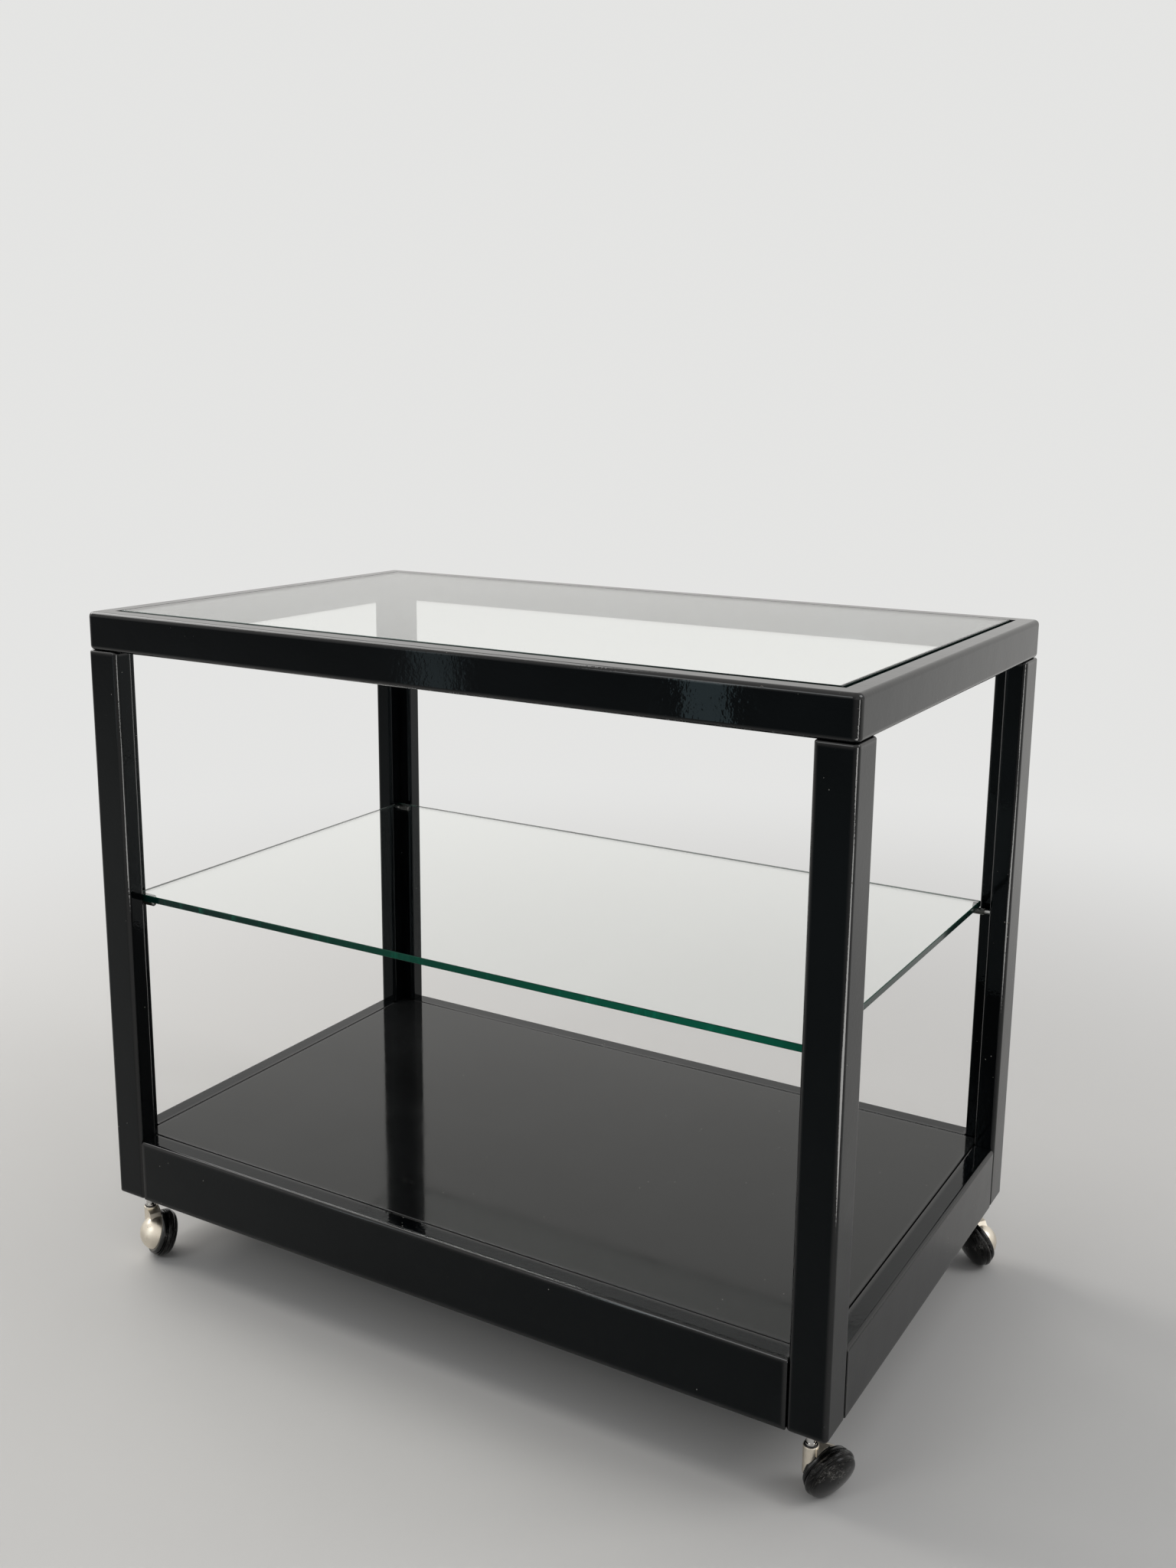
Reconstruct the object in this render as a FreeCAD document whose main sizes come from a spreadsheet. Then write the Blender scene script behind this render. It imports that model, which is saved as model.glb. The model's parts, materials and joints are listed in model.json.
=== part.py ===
import FreeCAD, Part
import math
import os

import Sketcher

# Serving trolley: a mitred top frame with a let-in glass, four notched posts, a glass shelf on
# sleeved pins, a base frame with a panel, and four ball castors that swivel and roll.
# Lengths are millimetres and angles degrees. +Z is up, the front faces -Y, and the origin lies on
# the floor below the middle of the frame.

SHEET_NAME = "Sizes"

# Each row is an alias, its value and what it measures.
SIZES = (
    ("frame_width", 700, "across the frame, left to right"),
    ("frame_depth", 427, "across the frame, front to back"),
    ("frame_height", 539, "from the foot of a post to the top face"),
    ("castor_height", 61.7, "from the floor to the foot of a post"),
    ("cut_overrun", 1, "how far a cut runs past what it cuts"),
    ("top_rail_height", 33, "height of a top rail"),
    ("top_rail_land", 17.5, "face of a top rail beside the glass"),
    ("top_rail_ledge", 8, "ledge of a top rail under the glass"),
    ("top_edge_radius", 4, "rounding along the top and bottom of the top frame"),
    ("top_corner_radius", 6, "rounding of the top frame's upright corners"),
    ("land_edge_radius", 0.8, "rounding of the land's inner edge"),
    ("glass_thickness", 6, "thickness of both panes"),
    ("glass_arris", 0.6, "ground arris along a pane's edges"),
    ("top_glass_gap_front", 5, "open gap in front of the top glass"),
    ("top_glass_gap_right", 4.5, "open gap to the right of the top glass"),
    ("top_glass_gap_snug", 0.5, "gap behind and to the left of the top glass"),
    ("post_width", 32, "post, left to right"),
    ("post_depth", 35, "post, front to back"),
    ("post_leg", 18.5, "thickness of the two legs beside the notch"),
    ("post_edge_radius", 4, "rounding of a post's outer upright edges"),
    ("notch_edge_radius", 3, "rounding of the upright edges beside the notch"),
    ("post_end_radius", 2, "rounding round the ends of a post"),
    ("base_rail_height", 57, "height of a base rail"),
    ("base_rail_thickness", 18.5, "thickness of a base rail"),
    ("base_rail_top_radius", 3.5, "rounding of a base rail's outer top edge"),
    ("base_rail_edge_radius", 1, "rounding of a base rail's other long edges"),
    ("base_rail_end_radius", 0.8, "rounding round the ends of a base rail"),
    ("panel_thickness", 8, "thickness of the base panel"),
    ("panel_groove", 1, "open groove round the base panel"),
    ("panel_edge_radius", 0.6, "rounding of the base panel's top edges"),
    ("cleat_size", 12, "width and height of a cleat under the panel"),
    ("cleat_chamfer", 1.5, "chamfer of a cleat's free lower edge"),
    ("shelf_drop", 252.4, "from the top face to the top of the shelf"),
    ("shelf_left_gap", 2, "shelf to the left posts' inner walls"),
    ("shelf_right_gap", 11, "shelf to the right posts' inner walls"),
    ("shelf_front_gap", 0.4, "shelf to the front posts' inner walls"),
    ("shelf_rear_gap", 6, "shelf to the rear posts' inner walls"),
    ("pin_radius", 1.75, "shelf pin"),
    ("pin_reach", 17, "sleeve's end from the wall that holds the pin"),
    ("pin_depth", 10, "depth of a pin in its post"),
    ("sleeve_radius", 3, "outside of the sleeve on a shelf pin"),
    ("sleeve_length", 11, "length of that sleeve"),
    ("sleeve_recess", 0.8, "how far the pin ends inside its sleeve"),
    ("sleeve_edge_radius", 0.5, "rounding of a sleeve's end edges"),
    ("running_clearance", 0.05, "radial clearance of a running fit"),
    ("face_clearance", 0.1, "gap between faces that turn against each other"),
    ("stem_inset", 19, "stem axis from the frame's two outer faces"),
    ("stem_radius", 3.75, "shank of a castor's stem"),
    ("stem_foot_gap", 0.2, "gap under the stem in the neck's bore"),
    ("stem_collar_radius", 4.4, "collar of the stem above the bush"),
    ("stem_collar_height", 1.4, "height of that collar"),
    ("stem_groove_radius", 3.3, "waist between the collar and the upper shank"),
    ("stem_groove_height", 0.8, "height of that waist"),
    ("stem_depth", 24, "length of stem inside the post"),
    ("stem_tip_radius", 1.5, "rounding of the stem's upper end"),
    ("socket_radius", 5.5, "outside of the socket in a post's foot"),
    ("socket_depth", 28, "length of the socket inside the post"),
    ("flange_radius", 8.5, "flange of the socket"),
    ("flange_height", 1.5, "height of that flange"),
    ("axle_tilt", 20, "slope of a wheel's axle below level"),
    ("ball_trail", 12.6, "ball centre behind the stem, along the way it rolls"),
    ("ball_lead", 2.6, "ball centre from the stem, along the axle"),
    ("hood_radius", 16.3, "outside of the half-ball hood"),
    ("hood_wall", 1.6, "wall of the hood"),
    ("hood_lip_width", 3.2, "rim round the hood's mouth, along the axle"),
    ("hood_lip_foot", 17.6, "radius of that rim where it leaves the ball"),
    ("hood_lip_radius", 19.4, "radius of that rim at the mouth"),
    ("hood_lip_round", 2.5, "rounding of that rim between the two"),
    ("hood_lip_land", 0.5, "straight edge of that rim at the mouth"),
    ("neck_radius", 5.8, "neck of the hood round the stem"),
    ("neck_top", 44.2, "top of the neck above the floor"),
    ("neck_edge_radius", 0.6, "rounding of the neck's top edge"),
    ("neck_bore_depth", 12, "depth of the stem's bore in the neck"),
    ("neck_boss_radius", 5.4, "neck's inner boss, inside the hood"),
    ("neck_boss_floor", 2.5, "floor of that boss under the bore"),
    ("web_half_width", 5.4, "half the width of the web from the neck to the ball"),
    ("web_foot", 41.2, "top of that web over the ball, above the floor"),
    ("web_tail", 13, "run of that web's sloping end past the ball's centre"),
    ("cup_radius", 5.1, "cup in the neck's top for the bush"),
    ("cup_depth", 1.6, "depth of that cup"),
    ("bush_height", 2.2, "height of the bush"),
    ("axle_radius", 2.5, "axle"),
    ("axle_seat", 12, "length of axle inside the hood's boss"),
    ("axle_boss_wall", 2, "wall of the hood's boss round the axle"),
    ("wheel_gap", 0.6, "gap between the hood's mouth and the wheel"),
    ("hub_gap", 0.3, "gap between the hood's boss and the wheel's hub"),
    ("hub_wall", 3.5, "wall of the wheel's hub round the axle"),
    ("hub_bore_depth", 11.5, "closed end of the hub's bore, from the hood's mouth"),
    ("wheel_back_recess", 4.5, "bottom of the recess in the wheel's back, from the mouth"),
    ("rim_wall", 2.1, "wall of the wheel under its tyre"),
    ("tread_radius", 21.5, "crown of the tyre"),
    ("tread_rise", 1.1, "height of that crown over its edges"),
    ("tread_width", 5.2, "width of the crown"),
    ("tyre_seat_radius", 17.6, "inside of the tyre"),
    ("lip_radius", 20.2, "bead of the tyre nearest the hood"),
    ("lip_width", 0.9, "width of that bead"),
    ("lip_groove_radius", 19.4, "groove between the bead and the crown"),
    ("lip_groove_width", 0.9, "width of that groove"),
    ("dome_edge_radius", 20.2, "edge of the domed wheel beside the tyre"),
    ("dome_apex", 14.8, "top of the dome, from the hood's mouth"),
    ("dome_crown_radius", 50, "curve of the dome over its middle"),
    ("heading_fl", 61, "way the front left axle points, from +X towards +Y"),
    ("heading_fr", 333, "the same for the front right"),
    ("heading_rl", 304, "the same for the rear left"),
    ("heading_rr", 236, "the same for the rear right"),
)

# A corner is its name, its side (-1 left, 1 right) and its end (-1 front, 1 rear).
CORNERS = (
    ("fl", -1, -1),
    ("fr", 1, -1),
    ("rl", -1, 1),
    ("rr", 1, 1),
)

doc = FreeCAD.newDocument("ServingTrolley")


def make_sheet():
    """The driving dimensions, one row each: alias, value, meaning."""
    sheet = doc.addObject("Spreadsheet::Sheet", SHEET_NAME)
    for row, (alias, value, meaning) in enumerate(SIZES, start=1):
        sheet.set("A%d" % row, alias)
        sheet.set("B%d" % row, str(value))
        sheet.set("C%d" % row, meaning)
        sheet.setAlias("B%d" % row, alias)
    doc.recompute()
    return sheet


class Size:
    """A number and the sheet formula that gives it, so that a feature can be bound to it."""

    def __init__(self, value, formula):
        self.value = value
        self.formula = formula

    def __add__(self, other):
        return Size(self.value + number(other), "(%s + %s)" % (self.formula, text(other)))

    def __radd__(self, other):
        return Size(number(other) + self.value, "(%s + %s)" % (text(other), self.formula))

    def __sub__(self, other):
        return Size(self.value - number(other), "(%s - %s)" % (self.formula, text(other)))

    def __rsub__(self, other):
        return Size(number(other) - self.value, "(%s - %s)" % (text(other), self.formula))

    def __mul__(self, other):
        return Size(self.value * number(other), "(%s * %s)" % (self.formula, text(other)))

    __rmul__ = __mul__

    def __truediv__(self, other):
        return Size(self.value / number(other), "(%s / %s)" % (self.formula, text(other)))

    def __neg__(self):
        return Size(-self.value, "(-1 * %s)" % self.formula)


def number(size):
    return size.value if isinstance(size, Size) else size


def text(size):
    return size.formula if isinstance(size, Size) else "(%s)" % size


def root(size):
    return Size(math.sqrt(size.value), "sqrt(%s)" % size.formula)


def cosine(angle):
    return Size(math.cos(math.radians(angle.value)), "cos(%s)" % angle.formula)


def sine(angle):
    return Size(math.sin(math.radians(angle.value)), "sin(%s)" % angle.formula)


sheet = make_sheet()
size = {alias: Size(float(sheet.get(alias)), "%s.%s" % (SHEET_NAME, alias)) for alias, _, _ in SIZES}


def bind(obj, path, value):
    """Bind a property to the sheet. A plain number has no formula and stays as it was set."""
    if isinstance(value, Size):
        obj.setExpression(path, value.formula)


def make_body(node, base=(0, 0, 0), turn=0):
    """A body named after its node, placed by its origin and a turn about Z."""
    body = doc.addObject("PartDesign::Body", node)
    body.Label = node
    place = FreeCAD.Vector(*[number(value) for value in base])
    body.Placement = FreeCAD.Placement(place, FreeCAD.Rotation(FreeCAD.Vector(0, 0, 1), number(turn)))
    for axis, value in zip("xyz", base):
        bind(body, "Placement.Base." + axis, value)
    bind(body, "Placement.Rotation.Angle", turn)
    return body


def make_sketch(body, role, shift=(0, 0, 0), tilt=0):
    """An empty sketch on one of the body's own planes, shifted and turned in that plane's frame."""
    sketch = body.newObject("Sketcher::SketchObject", body.Name + "_sketch")
    plane = [item for item in body.Origin.OriginFeatures if item.Role == role][0]
    sketch.AttachmentSupport = [(plane, "")]
    sketch.MapMode = "FlatFace"
    place = FreeCAD.Vector(*[number(value) for value in shift])
    sketch.AttachmentOffset = FreeCAD.Placement(
        place, FreeCAD.Rotation(FreeCAD.Vector(0, 0, 1), number(tilt)))
    for axis, value in zip("xyz", shift):
        bind(sketch, "AttachmentOffset.Base." + axis, value)
    bind(sketch, "AttachmentOffset.Rotation.Angle", tilt)
    return sketch


def constrain(sketch, name, kind, args, value):
    index = sketch.addConstraint(Sketcher.Constraint(kind, *args, number(value)))
    sketch.renameConstraint(index, name)
    bind(sketch, "Constraints." + name, value)


def fix_point(sketch, edge, end, point, name):
    """Tie one end of an edge to its place. A plain zero lies on the axis."""
    for kind, axis, value in (("DistanceX", -2, point[0]), ("DistanceY", -1, point[1])):
        if isinstance(value, Size):
            constrain(sketch, name + kind[-1], kind, (-1, 1, edge, end), value)
        else:
            sketch.addConstraint(Sketcher.Constraint("PointOnObject", edge, end, axis))


def arc_through(start, end, radius):
    """The short arc from start to end that bulges to the left of the way it runs."""
    chord = end - start
    half = chord.Length / 2
    depth = math.sqrt(radius * radius - half * half)
    left = FreeCAD.Vector(-chord.y, chord.x, 0).normalize()
    middle = (start + end) / 2
    return Part.Arc(start, middle + left * (radius - depth), end)


def draw_loop(sketch, points):
    """A closed loop. Each point is (x, y) or (x, y, radius), where the radius makes the side
    that starts there an arc that bulges to the left of the way it runs."""
    first = sketch.GeometryCount
    places = [FreeCAD.Vector(number(point[0]), number(point[1]), 0) for point in points]
    for index, point in enumerate(points):
        start = places[index]
        end = places[(index + 1) % len(points)]
        if len(point) == 3:
            sketch.addGeometry(arc_through(start, end, number(point[2])))
        else:
            sketch.addGeometry(Part.LineSegment(start, end))
    # An arc is stored anticlockwise, so one that runs clockwise has its ends the other way.
    ends = [(2, 1) if len(point) == 3 else (1, 2) for point in points]
    for index in range(len(points)):
        edge = first + index
        after = first + (index + 1) % len(points)
        sketch.addConstraint(Sketcher.Constraint(
            "Coincident", edge, ends[index][1], after, ends[(index + 1) % len(points)][0]))
    for index, point in enumerate(points):
        edge = first + index
        fix_point(sketch, edge, ends[index][0], point, "p%d_" % edge)
        if len(point) == 3:
            constrain(sketch, "r%d" % edge, "Radius", (edge,), point[2])
    return sketch


def draw_circle(sketch, centre, radius):
    edge = sketch.addGeometry(Part.Circle(
        FreeCAD.Vector(number(centre[0]), number(centre[1]), 0), FreeCAD.Vector(0, 0, 1), number(radius)))
    fix_point(sketch, edge, 3, centre, "c%d_" % edge)
    constrain(sketch, "r%d" % edge, "Radius", (edge,), radius)
    return sketch


def box_points(low, high):
    """The four corners of a rectangle between two opposite corners."""
    return [(low[0], low[1]), (high[0], low[1]), (high[0], high[1]), (low[0], high[1])]


def extrude(body, kind, sketch, length, reverse=False):
    """A Pad or Pocket of a sketch. A Pad goes along the sketch's normal and a Pocket against it."""
    feature = body.newObject("PartDesign::" + kind, body.Name + "_" + kind.lower())
    feature.Profile = sketch
    feature.Type = "Length"
    feature.Length = number(length)
    bind(feature, "Length", length)
    feature.Reversed = reverse
    return finish(body, feature)


def turn_round(body, kind, sketch, axis):
    """A Revolution or Groove of a sketch, all the way round one of its own axes."""
    feature = body.newObject("PartDesign::" + kind, body.Name + "_" + kind.lower())
    feature.Profile = sketch
    feature.ReferenceAxis = (sketch, [axis])
    feature.Angle = 360
    return finish(body, feature)


def dress(body, kind, radius, chosen):
    """A Fillet or Chamfer of the edges of the body's shape that pass a test."""
    base = body.Tip
    names = ["Edge%d" % (index + 1) for index, edge in enumerate(base.Shape.Edges) if chosen(edge)]
    if not names:
        raise RuntimeError("no edge to dress on " + body.Label)
    feature = body.newObject("PartDesign::" + kind, body.Name + "_" + kind.lower())
    feature.Base = (base, names)
    path = "Radius" if kind == "Fillet" else "Size"
    setattr(feature, path, number(radius))
    bind(feature, path, radius)
    return finish(body, feature)


def finish(body, feature):
    """Compute a feature, and stop if it failed or, for a cut, if it took nothing away."""
    before = feature.BaseFeature.Shape.Volume if feature.BaseFeature else 0
    body.Tip = feature
    doc.recompute()
    if "Invalid" in feature.State or "Error" in feature.State or feature.Shape.isNull():
        raise RuntimeError("%s failed in %s" % (feature.Name, body.Label))
    grows = feature.TypeId.split("::")[1] in ("Pad", "Revolution")
    if feature.TypeId.split("::")[1] in ("Pad", "Revolution", "Pocket", "Groove"):
        change = feature.Shape.Volume - before
        if (change > 0) != grows:
            raise RuntimeError("%s changed nothing in %s" % (feature.Name, body.Label))
    return feature


# Two lengths that differ by less than this count as the same.
CLOSE = 1e-4


def same(left, right):
    return abs(left - number(right)) < CLOSE


def upright_at(spots):
    """A test for upright straight edges that stand at one of the given places."""
    def chosen(edge):
        if not isinstance(edge.Curve, Part.Line) or abs(edge.tangentAt(edge.FirstParameter).z) < 1 - CLOSE:
            return False
        point = edge.Vertexes[0].Point
        return any(same(point.x, spot[0]) and same(point.y, spot[1]) for spot in spots)
    return chosen


def level_at(height):
    """A test for edges that lie in the level plane at the given height."""
    def chosen(edge):
        box = edge.BoundBox
        return same(box.ZMin, height) and same(box.ZMax, height)
    return chosen


def along_at(axis, spots):
    """A test for straight edges along X or Y at one of the given (across, height) places."""
    def chosen(edge):
        if not isinstance(edge.Curve, Part.Line):
            return False
        way = edge.tangentAt(edge.FirstParameter)
        point = edge.Vertexes[0].Point
        across = point.y if axis == "x" else point.x
        if abs(way.x if axis == "x" else way.y) < 1 - CLOSE:
            return False
        return any(same(across, spot[0]) and same(point.z, spot[1]) for spot in spots)
    return chosen


def in_plane(axis, places):
    """A test for edges that lie in a plane across X or Y at one of the given places."""
    def chosen(edge):
        box = edge.BoundBox
        low, high = (box.XMin, box.XMax) if axis == "x" else (box.YMin, box.YMax)
        return any(same(low, place) and same(high, place) for place in places)
    return chosen


half_width = size["frame_width"] / 2
half_depth = size["frame_depth"] / 2
top_face = size["castor_height"] + size["frame_height"]
rail_underside = top_face - size["top_rail_height"]
panel_top = size["castor_height"] + size["base_rail_height"]
panel_underside = panel_top - size["panel_thickness"]
shelf_underside = top_face - size["shelf_drop"] - size["glass_thickness"]
pin_height = shelf_underside - size["sleeve_radius"]

# The ball's centre lies in the hood's mouth, as high as sets the tyre's crown on the floor.
tilt = size["axle_tilt"]
crown_radius = ((size["tread_width"] / 2) * (size["tread_width"] / 2)
                + size["tread_rise"] * size["tread_rise"]) / (size["tread_rise"] * 2)
tread_start = size["wheel_gap"] + size["lip_width"] + size["lip_groove_width"]
tread_end = tread_start + size["tread_width"]
tread_middle = tread_start + size["tread_width"] / 2
ball_height = ((size["tread_radius"] - crown_radius) * cosine(tilt) + crown_radius
               + tread_middle * sine(tilt))


def make_top_rail(side):
    """One mitred rail of the top frame, cut from the frame's rounded blank."""
    width = size["frame_width"]
    depth = size["frame_depth"]
    height = size["top_rail_height"]
    land = size["top_rail_land"]
    rail = land + size["top_rail_ledge"]
    over = size["cut_overrun"]
    body = make_body("top_rail_" + side, (-half_width, -half_depth, rail_underside))
    extrude(body, "Pad", draw_loop(make_sketch(body, "XY_Plane"), box_points((0, 0), (width, depth))), height)
    dress(body, "Fillet", size["top_corner_radius"],
          upright_at([(0, 0), (width, 0), (0, depth), (width, depth)]))
    dress(body, "Fillet", size["top_edge_radius"],
          lambda edge: level_at(0)(edge) or level_at(height)(edge))
    opening = make_sketch(body, "XY_Plane", (0, 0, -over))
    draw_loop(opening, box_points((rail, rail), (width - rail, depth - rail)))
    extrude(body, "Pocket", opening, height + over * 2, reverse=True)
    rebate = make_sketch(body, "XY_Plane", (0, 0, height - size["glass_thickness"]))
    draw_loop(rebate, box_points((land, land), (width - land, depth - land)))
    extrude(body, "Pocket", rebate, size["glass_thickness"] + over, reverse=True)
    dress(body, "Fillet", size["land_edge_radius"],
          lambda edge: level_at(height)(edge) and isinstance(edge.Curve, Part.Line)
          and (along_at("x", [(land, height), (depth - land, height)])(edge)
               or along_at("y", [(land, height), (width - land, height)])(edge)))
    # The two mitre planes run at 45 degrees through the frame's corners.
    inner = rail * 2
    keep = {
        "front": [(-over, -over), (width + over, -over), (width - inner, inner), (inner, inner)],
        "rear": [(-over, depth + over), (inner, depth - inner), (width - inner, depth - inner),
                 (width + over, depth + over)],
        "left": [(-over, -over), (inner, inner), (inner, depth - inner), (-over, depth + over)],
        "right": [(width + over, -over), (width + over, depth + over), (width - inner, depth - inner),
                  (width - inner, inner)],
    }[side]
    trim = make_sketch(body, "XY_Plane", (0, 0, -over))
    draw_loop(trim, box_points((-over * 2, -over * 2), (width + over * 2, depth + over * 2)))
    draw_loop(trim, keep)
    extrude(body, "Pocket", trim, height + over * 2, reverse=True)


def make_pane(node, low, pane_width, pane_depth):
    """A pane of glass with ground arrises, from its low corner."""
    body = make_body(node, low)
    thickness = size["glass_thickness"]
    outline = box_points((0, 0), (pane_width, pane_depth))
    extrude(body, "Pad", draw_loop(make_sketch(body, "XY_Plane"), outline), thickness)
    dress(body, "Chamfer", size["glass_arris"], lambda edge: level_at(0)(edge) or level_at(thickness)(edge))


def make_top_glass():
    land = size["top_rail_land"]
    snug = size["top_glass_gap_snug"]
    front = size["top_glass_gap_front"]
    low = (-half_width + land + snug, -half_depth + land + front, top_face - size["glass_thickness"])
    make_pane("top_glass", low,
              size["frame_width"] - land * 2 - snug - size["top_glass_gap_right"],
              size["frame_depth"] - land * 2 - snug - front)


def make_shelf_glass():
    leg = size["post_leg"]
    left = size["shelf_left_gap"]
    front = size["shelf_front_gap"]
    make_pane("shelf_glass", (-half_width + leg + left, -half_depth + leg + front, shelf_underside),
              size["frame_width"] - leg * 2 - left - size["shelf_right_gap"],
              size["frame_depth"] - leg * 2 - front - size["shelf_rear_gap"])


def make_post(name, side, end):
    """A post with a notch for the corners of the shelf and the panel, solid at its foot."""
    width = size["post_width"] * -side
    depth = size["post_depth"] * -end
    leg_x = size["post_leg"] * -side
    leg_y = size["post_leg"] * -end
    length = size["frame_height"] - size["top_rail_height"]
    over = size["cut_overrun"]
    foot = size["castor_height"]
    notch_floor = panel_underside - foot
    body = make_body("post_" + name, (half_width * side, half_depth * end, foot))
    extrude(body, "Pad", draw_loop(make_sketch(body, "XY_Plane"), box_points((0, 0), (width, depth))), length)
    dress(body, "Fillet", size["post_edge_radius"], upright_at([(0, 0), (width, 0), (0, depth)]))
    dress(body, "Fillet", size["post_end_radius"],
          lambda edge: level_at(0)(edge) or level_at(length)(edge))
    notch = make_sketch(body, "XY_Plane", (0, 0, notch_floor))
    draw_loop(notch, box_points((leg_x, leg_y), (width - over * side, depth - over * end)))
    extrude(body, "Pocket", notch, length - notch_floor + over, reverse=True)
    dress(body, "Fillet", size["notch_edge_radius"], upright_at([(leg_x, depth), (width, leg_y)]))
    bore = make_sketch(body, "XY_Plane")
    draw_circle(bore, (size["stem_inset"] * -side, size["stem_inset"] * -end), size["socket_radius"])
    extrude(body, "Pocket", bore, size["socket_depth"], reverse=True)
    pin_bore = make_sketch(body, "YZ_Plane", (0, 0, leg_x))
    draw_circle(pin_bore, ((leg_y + depth) / 2, pin_height - foot), size["pin_radius"])
    extrude(body, "Pocket", pin_bore, size["pin_depth"], reverse=side > 0)


def make_shelf_pin(name, side, end):
    """A pin in the post's notch wall, and the clear sleeve on it that carries the shelf."""
    wall_x = (half_width - size["post_leg"]) * side
    middle_y = (half_depth - (size["post_leg"] + size["post_depth"]) / 2) * end
    reach = size["pin_reach"]
    fit = size["pin_radius"] + size["running_clearance"]
    pin = make_body("shelf_pin_" + name, (wall_x, middle_y, pin_height))
    start = make_sketch(pin, "YZ_Plane", (0, 0, size["pin_depth"] * side))
    draw_circle(start, (0, 0), size["pin_radius"])
    extrude(pin, "Pad", start, size["pin_depth"] + reach - size["sleeve_recess"], reverse=side > 0)
    sleeve = make_body("shelf_sleeve_" + name, (wall_x, middle_y, pin_height))
    far = -reach * side
    near = -(reach - size["sleeve_length"]) * side
    points = box_points((far, fit), (near, size["sleeve_radius"]))
    turn_round(sleeve, "Revolution", draw_loop(make_sketch(sleeve, "XZ_Plane"), points), "H_Axis")
    dress(sleeve, "Fillet", size["sleeve_edge_radius"],
          lambda edge: isinstance(edge.Curve, Part.Circle) and same(edge.Curve.Radius, size["sleeve_radius"]))


def make_base_rail(side):
    """A base rail between two posts, rounded along its outer top edge and at its outer ends."""
    thickness = size["base_rail_thickness"]
    height = size["base_rail_height"]
    lengthwise = side in ("front", "rear")
    far = 1 if side in ("rear", "right") else -1
    inward = thickness * -far
    if lengthwise:
        length = size["frame_width"] - size["post_width"] * 2
        base = (-length / 2, half_depth * far, size["castor_height"])
    else:
        length = size["frame_depth"] - size["post_depth"] * 2
        base = (half_width * far, -length / 2, size["castor_height"])
    body = make_body("base_rail_" + side, base)
    far_corner = (length, inward) if lengthwise else (inward, length)
    extrude(body, "Pad", draw_loop(make_sketch(body, "XY_Plane"), box_points((0, 0), far_corner)), height)
    axis = "x" if lengthwise else "y"
    dress(body, "Fillet", size["base_rail_top_radius"], along_at(axis, [(0, height)]))
    dress(body, "Fillet", size["base_rail_edge_radius"],
          along_at(axis, [(0, 0), (inward, height), (inward, 0)]))
    dress(body, "Fillet", size["base_rail_end_radius"], in_plane(axis, (0, length)))


def make_cleat(side):
    """A cleat inside a base rail, which carries the panel between the posts."""
    section = size["cleat_size"]
    lengthwise = side in ("front", "rear")
    far = 1 if side in ("rear", "right") else -1
    inward = section * -far
    foot = panel_underside - section
    if lengthwise:
        length = size["frame_width"] - size["post_width"] * 2
        base = (-length / 2, (half_depth - size["base_rail_thickness"]) * far, foot)
    else:
        length = size["frame_depth"] - size["post_depth"] * 2
        base = ((half_width - size["base_rail_thickness"]) * far, -length / 2, foot)
    body = make_body("panel_cleat_" + side, base)
    far_corner = (length, inward) if lengthwise else (inward, length)
    extrude(body, "Pad", draw_loop(make_sketch(body, "XY_Plane"), box_points((0, 0), far_corner)), section)
    dress(body, "Chamfer", size["cleat_chamfer"], along_at("x" if lengthwise else "y", [(inward, 0)]))


def make_base_panel():
    """The base panel, level with the rails inside a narrow groove, its corners in the notches."""
    inset = size["base_rail_thickness"] + size["panel_groove"]
    body = make_body("base_panel", (-half_width + inset, -half_depth + inset, panel_underside))
    outline = box_points((0, 0), (size["frame_width"] - inset * 2, size["frame_depth"] - inset * 2))
    extrude(body, "Pad", draw_loop(make_sketch(body, "XY_Plane"), outline), size["panel_thickness"])
    dress(body, "Fillet", size["panel_edge_radius"], level_at(size["panel_thickness"]))


def stem_place(side, end):
    inset = size["stem_inset"]
    return ((half_width - inset) * side, (half_depth - inset) * end, 0)


def make_socket(name, side, end):
    """The flanged socket in a post's foot that holds the castor's stem."""
    body = make_body("castor_socket_" + name, stem_place(side, end))
    foot = size["castor_height"]
    bore = size["stem_radius"] + size["running_clearance"]
    profile = make_sketch(body, "XZ_Plane")
    draw_loop(profile, [
        (bore, foot - size["flange_height"]),
        (size["flange_radius"], foot - size["flange_height"]),
        (size["flange_radius"], foot),
        (size["socket_radius"], foot),
        (size["socket_radius"], foot + size["socket_depth"]),
        (bore, foot + size["socket_depth"]),
    ])
    turn_round(body, "Revolution", profile, "V_Axis")


def make_stem(name, side, end):
    """The stem: a journal in the neck, a collar above the bush, a waist, and the shank above."""
    body = make_body("castor_stem_" + name, stem_place(side, end))
    shank = size["stem_radius"]
    foot = size["neck_top"] - size["neck_bore_depth"] + size["stem_foot_gap"]
    collar_foot = size["neck_top"] - size["cup_depth"] + size["bush_height"] + size["face_clearance"]
    collar_top = collar_foot + size["stem_collar_height"]
    waist_top = collar_top + size["stem_groove_height"]
    tip = size["castor_height"] + size["stem_depth"]
    profile = make_sketch(body, "XZ_Plane")
    draw_loop(profile, [
        (0, foot),
        (shank, foot),
        (shank, collar_foot),
        (size["stem_collar_radius"], collar_foot),
        (size["stem_collar_radius"], collar_top),
        (size["stem_groove_radius"], collar_top),
        (size["stem_groove_radius"], waist_top),
        (shank, waist_top),
        (shank, tip),
        (0, tip),
    ])
    turn_round(body, "Revolution", profile, "V_Axis")
    dress(body, "Fillet", size["stem_tip_radius"], level_at(tip))


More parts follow.
